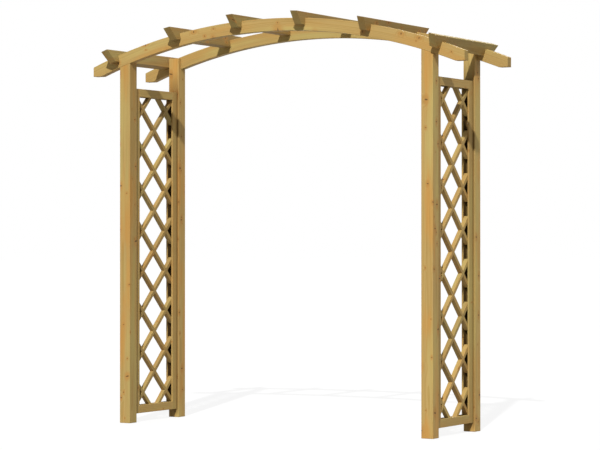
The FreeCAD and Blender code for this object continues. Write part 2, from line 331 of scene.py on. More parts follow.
    def ramp(self, value: Socket, stops: Sequence[Pair]) -> Socket:
        """Shapes a number by a curve of grey stops.

        Args:
            value: A number from 0 to 1.
            stops: Places and levels, in order.

        Returns:
            The shaped number.
        """
        made = self.node("ValToRGB")
        elements = made.color_ramp.elements
        while len(elements) < len(stops):
            elements.new(0.5)
        for element, (place, level) in zip(elements, stops):
            element.position = place
            element.color = (level, level, level, 1.0)
        self.feed(made.inputs[0], value)
        return made.outputs[0]

    def blend(self, share: Feed, first: Feed, second: Feed, mode: str = "MIX") -> Socket:
        """Mixes two colours.

        Args:
            share: How much of the second shows.
            first: The colour below.
            second: The colour on top.
            mode: The blend type.

        Returns:
            The mixed colour.
        """
        made = self.node("Mix", data_type="RGBA", blend_type=mode)
        for place, source in zip(self.MIX_INPUTS, (share, first, second)):
            colour = not isinstance(source, (bpy.types.NodeSocket, float))
            self.feed(made.inputs[place], (*source, 1.0) if colour else source)
        return made.outputs[self.MIX_RESULT]

    def dim(self, colour: Socket, level: Socket) -> Socket:
        """Multiplies a colour by a level."""
        return self.blend(1.0, colour, self.join(level, level, level), "MULTIPLY")


def new_material(name: str) -> tuple[bpy.types.Material, NodeGraph]:
    """Makes a material to build in.

    Args:
        name: The material's name.

    Returns:
        The material and its empty nodes.
    """
    material = bpy.data.materials.new(name)
    material.use_nodes = True
    return material, NodeGraph(material.node_tree)


def grey(level: float) -> tuple[float, float, float, float]:
    """An opaque grey."""
    return (level, level, level, 1.0)


@dataclass(frozen=True)
class KnotField:
    """The sockets that say how near a point of the timber is to a branch."""

    core: Socket
    halo: Socket
    push: Socket


@dataclass(frozen=True)
class Branches:
    """One family of branches, which show as knots where the saw has cut them.

    One branch grows out of the pith in each stretch of the log. The edges of its dark core, of the
    warm halo round it and of its push on the rings are counted in girths from its middle line.
    """

    spacing: float
    radius: float
    seed: float
    lean: float = 0.25
    place_from: float = 0.35
    place_range: float = 0.3
    girth_from: float = 0.55
    girth_range: float = 0.8
    girth_at_pith: float = 0.02
    full_girth_at: float = 0.03
    core_stretch: float = 1.9
    halo_stretch: float = 0.5
    core_edge: Pair = (0.7, 1.1)
    halo_edge: Pair = (0.7, 2.6)
    push_edge: Pair = (0.6, 3.6)

    def field(self, graph: NodeGraph, grain: Socket) -> KnotField:
        """Finds how near a point is to the branch of its stretch.

        Args:
            graph: The material's nodes.
            grain: The point's place in the log.

        Returns:
            The branch's core, halo and push at the point.
        """
        along, across, depth = graph.split(grain)
        cell = graph.math("FLOOR", graph.math("DIVIDE", along, self.spacing))
        place, turn, size = graph.chance(cell, self.seed)
        middle = graph.math("ADD", cell, graph.line(place, self.place_range, self.place_from))
        angle = graph.times(turn, math.tau)
        cosine = graph.math("COSINE", angle)
        sine = graph.math("SINE", angle)
        out = graph.math("ADD", graph.times(across, cosine), graph.times(depth, sine))
        aside = graph.math("SUBTRACT", graph.times(depth, cosine), graph.times(across, sine))
        up = graph.math("SUBTRACT", along, graph.times(middle, self.spacing))
        up = graph.math("SUBTRACT", up, graph.times(out, self.lean))
        girth = graph.times(graph.line(size, self.girth_range, self.girth_from), self.radius)
        taper = graph.step(out, (0.0, self.full_girth_at), self.girth_at_pith, 1.0)
        girth = graph.times(girth, taper)
        near = graph.math("DIVIDE", graph.distance(aside, up, self.core_stretch), girth)
        far = graph.math("DIVIDE", graph.distance(aside, up, self.halo_stretch), girth)
        return KnotField(
            core=graph.step(near, self.core_edge, 1.0, 0.0),
            halo=graph.step(far, self.halo_edge, 1.0, 0.0),
            push=graph.times(graph.step(far, self.push_edge, 1.0, 0.0), girth),
        )


@dataclass(frozen=True)
class Rings:
    """Growth rings about a pith that wanders, pushed aside by the knots.

    A year goes from pale spring wood to dark summer wood, as places in the year and levels.
    """

    pitch: float = 0.0058
    sway: float = 0.030
    sway_rate: float = 0.9
    nod_seed: float = 7.5
    ripple: float = 0.006
    ripple_scale: Triple = (4.0, 26.0, 26.0)
    push: float = 1.6
    uneven: float = 2.4
    uneven_rate: float = 70.0
    year: tuple[Pair, ...] = ((0.0, 0.08), (0.42, 0.10), (0.80, 0.72), (0.93, 1.0), (1.0, 0.08))

    def summer_wood(self, graph: NodeGraph, grain: Socket, push: Socket) -> Socket:
        """Finds the summer wood.

        Args:
            graph: The material's nodes.
            grain: The point's place in the log.
            push: How far a knot pushes the rings out.

        Returns:
            How dark the summer wood is at the point.
        """
        along, across, depth = graph.split(grain)
        sway = graph.wander(along, self.sway_rate)
        nod = graph.wander(along, self.sway_rate, self.nod_seed)
        offset = -0.5 * self.sway
        x = graph.math("ADD", across, graph.line(sway, self.sway, offset))
        y = graph.math("ADD", depth, graph.line(nod, self.sway, offset))
        ripple = graph.noise(graph.scaled(grain, self.ripple_scale))
        radius = graph.line(ripple, self.ripple, graph.distance(x, y))
        radius = graph.line(push, self.push, radius)
        uneven = graph.wander(radius, self.uneven_rate)
        phase = graph.line(uneven, self.uneven, graph.math("DIVIDE", radius, self.pitch))
        return graph.ramp(graph.math("FRACT", phase), self.year)


@dataclass(frozen=True)
class Checks:
    """Hairline drying checks, which run along the grain in a few planes through the pith."""

    half_width: float = 0.0004
    sharp_share: float = 0.4
    spread: float = 0.7
    drift: float = 0.09
    drift_rate: float = 3.0
    drift_seed: float = 3.1
    drift_detail: float = 3.0
    open_rate: float = 2.2
    open_edge: Pair = (0.58, 0.66)

    def gaps(self, graph: NodeGraph, grain: Socket) -> Socket:
        """Finds the open checks.

        Args:
            graph: The material's nodes.
            grain: The point's place in the log.

        Returns:
            How far the point is inside an open check, from 0 to 1.
        """
        along, across, depth = graph.split(grain)
        angle = graph.math("ARCTAN2", depth, across)
        drift = graph.wander(along, self.drift_rate, self.drift_seed, detail=self.drift_detail)
        nearest = graph.math("PINGPONG", graph.line(drift, self.drift, angle), self.spread)
        gap = graph.times(nearest, graph.distance(across, depth))
        crack = graph.step(gap, (self.half_width * self.sharp_share, self.half_width), 1.0, 0.0)
        reach = graph.wander(along, self.open_rate, third=angle)
        return graph.times(crack, graph.step(reach, self.open_edge))


@dataclass(frozen=True)
class TimberFinish:
    """One batch of pressure-treated softwood, with its growth rings, fibres, knots and tints.

    The grain is worked out in the solid wood, so that faces, arrises and sawn ends agree. Scales
    are waves to a metre along the grain and two ways across it.
    """

    name: str
    tone: float = 1.0
    board_range: float = 0.16
    early: Colour = (0.540, 0.362, 0.122)
    late: Colour = (0.425, 0.254, 0.066)
    ring_strength: float = 0.85
    resin: Colour = (0.580, 0.298, 0.070)
    resin_share: float = 0.85
    resin_scale: Triple = (2.6, 16.0, 16.0)
    resin_edge: Pair = (0.44, 0.68)
    bloom: Colour = (0.545, 0.425, 0.140)
    bloom_share: float = 0.85
    bloom_scale: Triple = (-1.3, 11.0, 11.0)
    bloom_edge: Pair = (0.45, 0.72)
    bloom_detail: float = 3.0
    fibre_strength: float = 0.22
    fibre_scale: Triple = (7.0, 900.0, 900.0)
    fibre_detail: float = 3.0
    fibre_roughness: float = 0.6
    streak_scale: Triple = (1.6, 120.0, 120.0)
    halo: Colour = (0.500, 0.240, 0.055)
    halo_share: float = 0.70
    knot: Colour = (0.130, 0.070, 0.020)
    knot_share: float = 0.95
    knot_spacing: float = 0.11
    knot_radius: float = 0.0082
    small_knot_spacing: float = 0.62
    small_knot_radius: float = 0.55
    check_share: float = 0.7
    end_shade: float = 0.86
    # painted shade: the colour multiplied in where grooves and seams are darkened to stand in for
    # their shade
    painted_shade_colour: Colour = (0.24, 0.20, 0.15)
    gloss: float = 0.28
    roughness: float = 0.56
    roughness_of_fibre: float = 0.16
    roughness_of_end: float = 0.12
    bump_strength: float = 0.5
    bump_depth: float = 0.0005
    ring_height: float = 0.35
    check_height: float = -2.5
    rings: Rings = Rings()
    checks: Checks = Checks()

    def material(self) -> bpy.types.Material:
        """Builds the finish.

        Returns:
            The material of every board of this batch.
        """
        material, graph = new_material(self.name)
        grain = graph.attribute(Layer.TIMBER).outputs["Vector"]
        board = graph.attribute(Layer.BOARD).outputs["Fac"]
        end = graph.attribute(Layer.END_GRAIN).outputs["Fac"]
        # how much painted shade lies on the point
        painted_shade_mask = graph.attribute(Layer.SHADE).outputs["Fac"]
        knots = self.knots(graph, grain)
        late = self.rings.summer_wood(graph, grain, knots.push)
        fibre = graph.noise(
            graph.scaled(grain, self.fibre_scale), self.fibre_detail, self.fibre_roughness
        )
        check = self.checks.gaps(graph, grain)
        colour = self.clear_wood(graph, grain, late, fibre, board)
        colour = graph.blend(graph.times(knots.halo, self.halo_share), colour, self.halo)
        colour = graph.blend(graph.times(knots.core, self.knot_share), colour, self.knot)
        colour = graph.blend(graph.times(check, self.check_share), colour, self.knot)
        colour = graph.dim(colour, graph.line(end, self.end_shade - 1.0, 1.0))
        # painted shade: darkens the grooves and the seams beside the posts
        colour = graph.blend(painted_shade_mask, colour, self.painted_shade_colour, "MULTIPLY")
        rough = graph.line(fibre, self.roughness_of_fibre, self.roughness)
        rough = graph.line(end, self.roughness_of_end, rough)
        height = graph.line(late, self.ring_height, fibre)
        height = graph.line(check, self.check_height, height)
        bump = graph.node("Bump")
        bump.inputs["Strength"].default_value = self.bump_strength
        bump.inputs["Distance"].default_value = self.bump_depth
        graph.feed(bump.inputs["Height"], height)
        shader = graph.node("BsdfPrincipled")
        shader.inputs["Specular IOR Level"].default_value = self.gloss
        graph.feed(shader.inputs["Base Color"], colour)
        graph.feed(shader.inputs["Roughness"], rough)
        graph.feed(shader.inputs["Normal"], bump.outputs["Normal"])
        graph.surface(shader.outputs["BSDF"])
        return material

    def knots(self, graph: NodeGraph, grain: Socket) -> KnotField:
        """Grows branches in two sizes.

        Args:
            graph: The material's nodes.
            grain: The point's place in the log.

        Returns:
            How near the point is to the nearest branch.
        """
        families = (
            Branches(self.knot_spacing, self.knot_radius, seed=1.0),
            Branches(
                self.knot_spacing * self.small_knot_spacing,
                self.knot_radius * self.small_knot_radius,
                seed=2.0,
            ),
        )
        large, small = (family.field(graph, grain) for family in families)
        return KnotField(
            core=graph.math("MAXIMUM", large.core, small.core),
            halo=graph.math("MAXIMUM", large.halo, small.halo),
            push=graph.math("ADD", large.push, small.push),
        )

    def clear_wood(
        self, graph: NodeGraph, grain: Socket, late: Socket, fibre: Socket, board: Socket
    ) -> Socket:
        """The wood's colour away from knots and ends.

        Args:
            graph: The material's nodes.
            grain: The point's place in the log.
            late: How dark the summer wood is.
            fibre: Fine streaks along the grain.
            board: The board's own number from 0 to 1.

        Returns:
            The colour.
        """
        patch = graph.noise(graph.scaled(grain, self.resin_scale))
        cloud = graph.noise(graph.scaled(grain, self.bloom_scale), self.bloom_detail)
        streak = graph.noise(graph.scaled(grain, self.streak_scale))
        colour = graph.blend(graph.times(late, self.ring_strength), self.early, self.late)
        warmth = graph.times(graph.step(patch, self.resin_edge), self.resin_share)
        colour = graph.blend(warmth, colour, self.resin)
        green = graph.times(graph.step(cloud, self.bloom_edge), self.bloom_share)
        colour = graph.blend(green, colour, self.bloom)
        darkest = 1.0 - 0.5 * self.fibre_strength
        fine = graph.line(fibre, self.fibre_strength, darkest)
        broad = graph.line(streak, self.fibre_strength, darkest)
        own = graph.line(board, self.board_range, self.tone - 0.5 * self.board_range)
        return graph.dim(colour, graph.times(graph.times(fine, broad), own))


@dataclass(frozen=True)
class SteelFinish:
    """Zinc-plated screw steel with a slightly uneven, dulled passivation."""

    slot: Slot = Slot.FIXING
    bright: Colour = (0.62, 0.60, 0.55)
    dull: Colour = (0.40, 0.38, 0.33)
    cloud_scale: float = 420.0
    cloud_detail: float = 3.0
    roughness: float = 0.25
    roughness_of_cloud: float = 0.3

    def material(self) -> bpy.types.Material:
        """Builds the finish.

        Returns:
            The material of the screws and brads.
        """
        material, graph = new_material(self.slot.value)
        place = graph.node("TexCoord").outputs["Object"]
        cloud = graph.noise(graph.scaled(place, (self.cloud_scale,) * 3), self.cloud_detail)
        rough = graph.line(cloud, self.roughness_of_cloud, self.roughness)
        shader = graph.node("BsdfPrincipled")
        shader.inputs["Metallic"].default_value = 1.0
        graph.feed(shader.inputs["Base Color"], graph.blend(cloud, self.bright, self.dull))
        graph.feed(shader.inputs["Roughness"], rough)
        graph.surface(shader.outputs["BSDF"])
        return material


@dataclass(frozen=True)
class StraightGrain:
    """Grain that runs straight along a board.

    The pith is where the middle of the board's section lies in the log, and the start tells one
    board from the next along it.
    """

    middle: Vector
    along: Vector
    across: Vector
    start: float
    pith: Pair

    def timber(self, point: Vector) -> Vector:
        """Finds a point's place in the log.

        Args:
            point: A point of the board.

        Returns:
            Its place along the grain and two ways across it.
        """
        place = point - self.middle
        depth = self.along.cross(self.across)
        return Vector((
            place.dot(self.along) + self.start,
            place.dot(self.across) + self.pith[0],
            place.dot(depth) + self.pith[1],
        ))

    def direction(self, point: Vector) -> Vector:
        """The way the grain runs at a point."""
        return self.along


@dataclass(frozen=True)
class BowedGrain:
    """Grain that follows the bow of a beam bent to its curve."""

    centre: Vector
    radius: float
    start: float
    pith: Pair

    def timber(self, point: Vector) -> Vector:
        """Finds a point's place in the log.

        Args:
            point: A point of the beam.

        Returns:
            Its place along the grain and two ways across it.
        """
        place = point - self.centre
        reach = math.hypot(place.x, place.z)
        lean = math.atan2(place.x, place.z)
        return Vector((
            lean * self.radius + self.start,
            reach - self.radius + self.pith[0],
            place.y + self.pith[1],
        ))

    def direction(self, point: Vector) -> Vector:
        """The way the grain runs at a point."""
        place = point - self.centre
        return Vector((place.z, 0.0, -place.x)).normalized()


Grain = Union[StraightGrain, BowedGrain]


@dataclass(frozen=True)
class Log:
    """Where boards of one kind are sawn from, as distances of their middle from the log's pith."""

    nearest: float
    furthest: float
    length: float = 60.0

    def cut(self, name: str) -> tuple[float, Pair, float]:
        """Chooses a board by its name, the same one each time.

        Args:
            name: The board's name.

        Returns:
            Its start along the log, its middle from the pith, and its own number from 0 to 1.
        """
        chance = random.Random(name)
        turn = chance.uniform(0.0, math.tau)
        reach = chance.uniform(self.nearest, self.furthest)
        start = chance.uniform(0.0, self.length)
        return start, (reach * math.cos(turn), reach * math.sin(turn)), chance.random()


class Board:
    """A length of timber on the bench: its mesh, its spaces of painted shade and the node it stands
    for.
    """

    END_FROM = 0.3  # a face turned this far towards the grain starts to show end grain
    END_RANGE = 0.6

    def __init__(self, node: str) -> None:
        """Lays out a board.

        Args:
            node: The node of the frame that the board stands for.
        """
        self.node = node
        self.mesh = bmesh.new()
        self.hollows: list[tuple[Vector, Vector, float]] = []

    def hollow(self, first: Vector, second: Vector, depth: float = 1.0) -> None:
        """Notes a space between two corners whose surface is darkened with painted shade.

        Args:
            first: A corner of the space.
            second: The opposite corner.
            depth: How dark it is, from 0 to 1.
        """
        low = Vector(map(min, first, second))
        high = Vector(map(max, first, second))
        self.hollows.append((low, high, depth))

    def shade(self, point: Vector) -> float:
        """Finds how much painted shade lies on a point of the surface.

        Args:
            point: The point.

        Returns:
            The depth of the darkest space that it lies in, from 0 to 1.
        """
        held = (
            depth
            for low, high, depth in self.hollows
            if all(low[axis] <= point[axis] <= high[axis] for axis in range(3))
        )
        return max(held, default=0.0)

    def block(self, low: Vector, high: Vector) -> None:
        """Adds a square-edged block to the board.

        Args:
            low: The block's lowest corner.
            high: Its highest corner.
        """
        made = bmesh.ops.create_cube(self.mesh, size=1.0)
        bmesh.ops.scale(self.mesh, vec=high - low, verts=made["verts"])
        bmesh.ops.translate(self.mesh, vec=(low + high) / 2, verts=made["verts"])

    def draw(self, outline: Sequence[Vector], run: Vector) -> None:
        """Starts the board as an outline that is filled and drawn out along a run."""
        face = self.mesh.faces.new([self.mesh.verts.new(point) for point in outline])
        self.pull([face], run)

    def pull(self, faces: Sequence[bmesh.types.BMFace], run: Vector) -> list[bmesh.types.BMFace]:
        """Draws faces out of the board.

        Args:
            faces: The faces to move, which touch each other.
            run: How far they go.

        Returns:
            The faces at their new place.
        """
        made = bmesh.ops.extrude_face_region(self.mesh, geom=list(faces))["geom"]
        points = [item for item in made if isinstance(item, bmesh.types.BMVert)]
        bmesh.ops.translate(self.mesh, vec=run, verts=points)
        return [item for item in made if isinstance(item, bmesh.types.BMFace)]

    def score(self, point: Vector, normal: Vector, clear_outer: bool = False) -> None:
        """Marks a line round the board where a plane meets it.

        Args:
            point: A point of the plane.
            normal: The way the plane faces.
            clear_outer: Whether what lies beyond the plane is taken away.
        """
        everything = [*self.mesh.verts, *self.mesh.edges, *self.mesh.faces]
        bmesh.ops.bisect_plane(
            self.mesh, geom=everything, dist=ON_PLANE, plane_co=point, plane_no=normal,
            clear_outer=clear_outer,
        )

    def saw(self, point: Vector, normal: Vector) -> None:
        """Saws off what lies beyond a plane and closes the cut.

        Args:
            point: A point of the plane.
            normal: The way the plane faces.
        """
        self.score(point, normal, clear_outer=True)
        rims = [edge for edge in self.mesh.edges if edge.is_boundary]
        bmesh.ops.holes_fill(self.mesh, edges=rims, sides=0)

    def ease(self, width: float, limit: float = math.radians(25.0)) -> None:
        """Rounds over the sharp arrises.

        Args:
            width: How far the rounding reaches on each face.
            limit: Edges that turn less than this stay as they are.
        """
        bmesh.ops.remove_doubles(self.mesh, verts=self.mesh.verts, dist=WELD)
        bmesh.ops.recalc_face_normals(self.mesh, faces=self.mesh.faces)
        sharp = [
            edge
            for edge in self.mesh.edges
            if edge.is_manifold and edge.is_convex and edge.calc_face_angle(0.0) > limit
        ]
        bmesh.ops.bevel(
            self.mesh, geom=sharp, offset=width, offset_type="OFFSET", affect="EDGES",
            segments=2, profile=0.5, material=-1, clamp_overlap=True,
        )

    def dress(
        self, grain: Grain, own: float, slot: Slot, material: bpy.types.Material
    ) -> bpy.types.Object:
        """Writes the grain into the mesh and puts the board in place of its node.

        Args:
            grain: How the grain runs.
            own: The board's own number from 0 to 1.
            slot: The record's slot that the finish fills.
            material: The finish.

        Returns:
            The finished piece.
        """
        timber = self.mesh.verts.layers.float_vector.new(Layer.TIMBER.value)
        ends = self.mesh.faces.layers.float.new(Layer.END_GRAIN.value)
        number = self.mesh.faces.layers.float.new(Layer.BOARD.value)
        # painted shade: how dark each point of the grooves and seams is made
        painted_shade_mask = self.mesh.verts.layers.float.new(Layer.SHADE.value)
        for vert in self.mesh.verts:
            vert[timber] = grain.timber(vert.co)
            vert[painted_shade_mask] = self.shade(vert.co)
        for face in self.mesh.faces:
            turned = abs(face.normal.dot(grain.direction(face.calc_center_median())))
            face[ends] = max(0.0, min(1.0, (turned - self.END_FROM) / self.END_RANGE))
            face[number] = own
        return place_piece(f"timber_{self.node}", self.mesh, slot, material, self.node)


def place_piece(
    name: str, mesh: bmesh.types.BMesh, slot: Slot, material: bpy.types.Material, node: str
) -> bpy.types.Object:
    """Makes an object of a finished mesh, in place of a node of the frame.

    Args:
        name: The piece's name.
        mesh: Its mesh, in the frame's own place, which is freed.
        slot: Not used.
        material: The finish.
        node: The node that it stands for.

    Returns:
        The piece.
    """
    data = bpy.data.meshes.new(name)
    mesh.to_mesh(data)
    mesh.free()
    data.materials.append(material)
    piece = bpy.data.objects.new(name, data)
    bpy.context.scene.collection.objects.link(piece)
    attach(piece, BODY)
    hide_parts(node)
    LOG.info("%s: %d faces", name, len(data.polygons))
    return piece


def middle_of(node: str) -> Vector:
    """The middle of a node's box."""
    low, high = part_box(node)
    return (low + high) / 2


@dataclass
class Bow:
    """The curve of the beams, a circle about an axis through the arch."""

    radius: float = 3.300
    depth: float = 0.070

    @property
    def centre(self) -> Vector:
        """The circle's centre, from the crown of the front beam."""
        return Vector((0.0, 0.0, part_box("front_beam")[1].z - self.radius))

    @property
    def inner(self) -> float:
        """The radius of a beam's lower edge."""
        return self.radius - self.depth

    def underside(self, x: float) -> float:
        """The level of a beam's lower edge at a place across the arch."""
        return self.centre.z + math.sqrt(self.inner**2 - x**2)


@dataclass
class Posts:
    """Four square posts, each cut back to a shoulder for its beam, with a tongue behind the beam.

    The seam is how far painted shade darkens a post beside the stile that stands against it.
    """

    bow: Bow
    finish: bpy.types.Material
    tongue: float = 0.025
    arris: float = 0.0022
    seam: float = 0.009
    seam_shade: float = 0.65
    seat_cuts: int = 11
    log: Log = Log(0.004, 0.020)

    def build(self) -> list[bpy.types.Object]:
        """Makes the posts.

        Returns:
            The four pieces.
        """
        return [self.post(end, side) for end in End for side in Side]

    def post(self, end: End, side: Side) -> bpy.types.Object:
        """Makes one post.

        Args:
            end: The end of the walkway that it stands at.
            side: The side of the walkway that it stands on.

        Returns:
            The piece.
        """
        node = f"{end.name}_{side.name}_post".lower()
        low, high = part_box(node)
        outer, inner = (low.y, high.y) if end is End.FRONT else (high.y, low.y)
        back = inner + end.value * self.tongue
        level = self.bow.underside((low.x + high.x) / 2)
        board = Board(node)
        for near, far in ((outer, back), (back, inner)):
            corners = ((low.x, near), (high.x, near), (high.x, far), (low.x, far))
            board.mesh.faces.new([board.mesh.verts.new((x, y, low.z)) for x, y in corners])
        bmesh.ops.remove_doubles(board.mesh, verts=board.mesh.verts, dist=WELD)
        tops = board.pull(list(board.mesh.faces), Z_AXIS * (level - low.z))
        middle = (back + inner) / 2
        tongue = [face for face in tops if abs(face.calc_center_median().y - middle) < TOUCH]
        board.pull(tongue, Z_AXIS * (high.z - level))
        self.hollow_seat(board, level, outer, back)
        board.ease(self.arris)
        self.seam_beside(board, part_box(f"{side.name}_panel_{end.name}_stile".lower()), inner)
        start, pith, own = self.log.cut(node)
        foot = Vector(((low.x + high.x) / 2, (low.y + high.y) / 2, 0.0))
        grain = StraightGrain(foot, Z_AXIS, X_AXIS, start, pith)
        return board.dress(grain, own, Slot.STRUCTURE, self.finish)

    def seam_beside(self, board: Board, stile: Box, inner: float) -> None:
        """Paints shade on a post behind its stile and beside it, fading to the arris.

        Args:
            board: The post.
            stile: The box of the stile.
            inner: The face of the post that the stile stands against, along Y.
        """
        low, high = stile
        first = Vector((low.x - self.seam, inner, low.z))
        second = Vector((high.x + self.seam, inner, high.z))
        for corner in (first, second):
            board.score(corner, X_AXIS)
            board.score(corner, Z_AXIS)
        slack = Vector((TOUCH, TOUCH, TOUCH))
        # painted shade on the post behind and beside the stile
        board.hollow(first - slack, second + slack, self.seam_shade)

    def hollow_seat(self, board: Board, level: float, outer: float, back: float) -> None:
        """Curves the shoulder to the beam's underside.

        Args:
            board: The post.
            level: The flat shoulder's level.
            outer: The shoulder's outer edge along Y.
            back: Its edge against the tongue.
        """
        rims = [
            edge
            for edge in board.mesh.edges
            if all(abs(vert.co.z - level) < TOUCH for vert in edge.verts)
            and abs(edge.verts[0].co.y - edge.verts[1].co.y) < TOUCH
            and min(abs(edge.verts[0].co.y - outer), abs(edge.verts[0].co.y - back)) < TOUCH
        ]
        bmesh.ops.subdivide_edges(
            board.mesh, edges=rims, cuts=self.seat_cuts, use_grid_fill=True
        )
        for vert in board.mesh.verts:
            on_seat = min(abs(vert.co.y - outer), abs(vert.co.y - back)) < TOUCH
            if on_seat and abs(vert.co.z - level) < TOUCH:
                vert.co.z = self.bow.underside(vert.co.x)


@dataclass
class Beams:
    """Two bowed beams with upright ends and level toes."""

    bow: Bow
    finish: bpy.types.Material
    arris: float = 0.0020
    steps: int = 120
    overrun: float = math.radians(1.0)
    log: Log = Log(0.030, 0.075)

    def build(self) -> list[bpy.types.Object]:
        """Makes the beams.

        Returns:
            The two pieces.
        """
        return [self.beam(f"{end.name}_beam".lower()) for end in End]

    def beam(self, node: str) -> bpy.types.Object:
        """Bends a square-edged bar round the bow and saws its ends.

        Args:
            node: The node of the frame that the beam stands for.

        Returns:
            The piece.
        """
        low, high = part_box(node)
        centre = self.bow.centre
        inner, outer = self.bow.inner, self.bow.radius
        lean = math.asin(high.x / outer) + self.overrun
        board = Board(node)
        corners = ((low.y, inner), (high.y, inner), (high.y, outer), (low.y, outer))
        points = [board.mesh.verts.new((0.0, y, centre.z + reach)) for y, reach in corners]
        section = board.mesh.faces.new(points)
        turn = Matrix.Rotation(-lean, 3, "Y")
        bmesh.ops.rotate(board.mesh, cent=centre, matrix=turn, verts=board.mesh.verts)
        bmesh.ops.spin(
            board.mesh, geom=[section, *section.edges, *section.verts], cent=centre, axis=Y_AXIS,
            angle=2.0 * lean, steps=self.steps, use_duplicate=False, use_merge=False,
        )
        board.saw(X_AXIS * high.x, X_AXIS)
        board.saw(X_AXIS * low.x, -X_AXIS)
        board.saw(Z_AXIS * low.z, -Z_AXIS)
        board.ease(self.arris)
        start, pith, own = self.log.cut(node)
        middle = Vector((0.0, (low.y + high.y) / 2, centre.z))
        grain = BowedGrain(middle, (outer + inner) / 2, start, pith)
        return board.dress(grain, own, Slot.STRUCTURE, self.finish)


@dataclass
class Rafters:
    """Six rafters with raked ends, notched over both beams and square to the bow."""

    bow: Bow
    finish: bpy.types.Material
    thickness: float = 0.045
    depth: float = 0.070
    housing: float = 0.038
    rake: float = 0.056
    clearance: float = 0.0002
    arris: float = 0.0020
    count: int = 6
    log: Log = Log(0.030, 0.070)

    def build(self) -> list[bpy.types.Object]:
        """Makes the rafters.

        Returns:
            The six pieces.
        """
        return [self.rafter(f"rafter_{number}") for number in range(1, self.count + 1)]

    def lean(self, node: str) -> float:
        """How far a rafter leans from upright, towards the right."""
        middle = middle_of(node) - self.bow.centre
        return math.atan2(middle.x, middle.z)

    def outline(self, reach: float) -> Iterator[Pair]:
        """The rafter's side view, as places along Y and levels above the bow's centre.

        Args:
            reach: How far the upper edge reaches from the middle.

        Yields:
            The corners in order.
        """
        foot = self.bow.radius - self.housing
        beam_low, beam_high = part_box("rear_beam")
        notch = (beam_high.y + self.clearance, beam_low.y - self.clearance)
        rear = (
            (reach, foot + self.depth),
            (reach - self.rake, foot),
            (notch[0], foot),
            (notch[0], self.bow.radius),
            (notch[1], self.bow.radius),
            (notch[1], foot),
        )
        yield from rear
        yield from ((-along, level) for along, level in reversed(rear))

    def rafter(self, node: str) -> bpy.types.Object:
        """Makes one rafter upright over the bow's centre and leans it to its place.

        Args:
            node: The node of the frame that the rafter stands for.

        Returns:
            The piece.
        """
        centre = self.bow.centre
        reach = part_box(node)[1].y
        board = Board(node)
        corners = [centre + Vector((-self.thickness / 2, y, z)) for y, z in self.outline(reach)]
        board.draw(corners, X_AXIS * self.thickness)
        turn = Matrix.Rotation(self.lean(node), 3, "Y")
        bmesh.ops.rotate(board.mesh, cent=centre, matrix=turn, verts=board.mesh.verts)
        board.ease(self.arris)
        start, pith, own = self.log.cut(node)
        grain = StraightGrain(middle_of(node), Y_AXIS, turn @ X_AXIS, start, pith)
        return board.dress(grain, own, Slot.STRUCTURE, self.finish)


